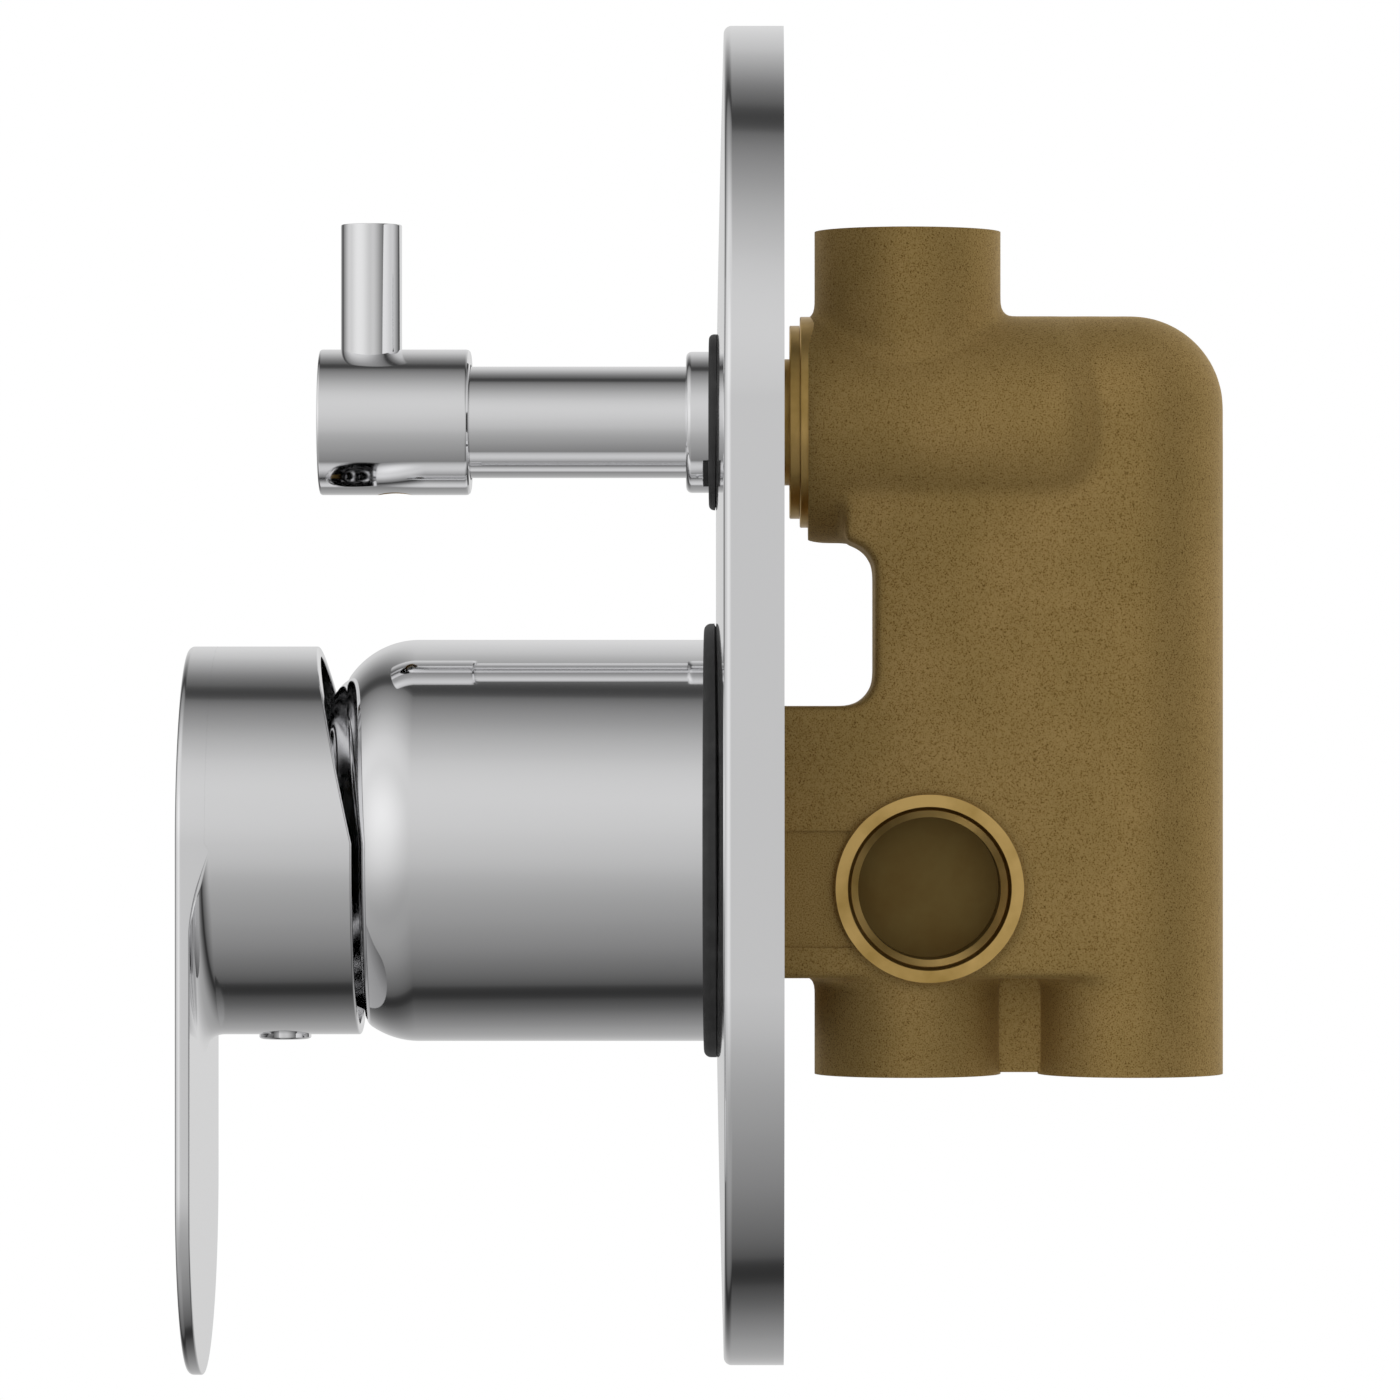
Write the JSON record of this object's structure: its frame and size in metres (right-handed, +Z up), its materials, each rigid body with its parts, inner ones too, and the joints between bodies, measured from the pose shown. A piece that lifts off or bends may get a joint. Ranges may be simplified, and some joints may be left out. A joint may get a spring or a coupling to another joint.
{
  "type": "concealed shower mixer valve with diverter",
  "caption": "Concealed single-lever shower mixer with a rotary diverter, chromed trim and wall plate on a cast brass body with threaded pipe ports.",
  "frame": {"origin": "where the mixing cartridge's axis crosses the finished wall", "axes": "+Z up, -Y towards the user (handle side), +Y into the wall, +X to the user's right"},
  "size_m": [0.105, 0.1392, 0.1814],
  "materials": {
    "chrome": "polished chrome plate",
    "cast_brass": "blasted casting",
    "turned_brass": "turned",
    "steel": "plain",
    "black_rubber": "moulded, matt",
    "white_plastic": "moulded",
    "disc_ceramic": "lapped"
  },
  "bodies": {
    "root": {"cartridge_base": "white_plastic", "cartridge_housing": "white_plastic", "cartridge_nut": "turned_brass", "cartridge_seal": "black_rubber", "diverter_cartridge": "white_plastic", "diverter_collar": "chrome", "diverter_fixed_disc": "disc_ceramic", "diverter_gasket": "black_rubber", "diverter_gland": "turned_brass", "diverter_neck": "chrome", "diverter_seals": "black_rubber", "dome_cover": "chrome", "fixed_disc": "disc_ceramic", "plate": "chrome", "sleeve": "chrome", "sleeve_gasket": "black_rubber", "sleeve_o_ring": "black_rubber", "valve_body": "cast_brass"},
    "turret": {"cartridge_rotor": "white_plastic", "stem_pin": "steel"},
    "lever": {"lever_handle": "chrome", "lever_stem": "turned_brass", "handle_grub_screw": "steel", "index_plug": "chrome"},
    "carriage": {"moving_disc": "disc_ceramic", "disc_carrier": "white_plastic"},
    "diverter": {"diverter_knob": "chrome", "diverter_pin": "chrome", "diverter_spindle": "turned_brass", "knob_grub_screw": "steel", "diverter_moving_disc": "disc_ceramic"}
  },
  "joints": [
    {"name": "lever_turn", "type": "hinge", "parent": "root", "child": "turret", "pos_m": [0, -0.05, 0], "axis": [0, 1, 0], "range_deg": [-50, 50]},
    {"name": "lever_lift", "type": "hinge", "parent": "turret", "child": "lever", "pos_m": [0, -0.05, 0], "axis": [-1, 0, 0], "range_deg": [0, 20]},
    {"name": "disc_slide", "type": "slide", "parent": "turret", "child": "carriage", "axis": [0, 0, -1], "range_m": [0, 0.0049]},
    {"name": "diverter_turn", "type": "hinge", "parent": "root", "child": "diverter", "pos_m": [0, -0.05, 0.0563], "axis": [0, 1, 0], "range_deg": [-90, 90]}
  ],
  "couplings": [
    {"joint": "disc_slide", "follows": "lever_lift", "m_per_rad": 0.0138}
  ]
}
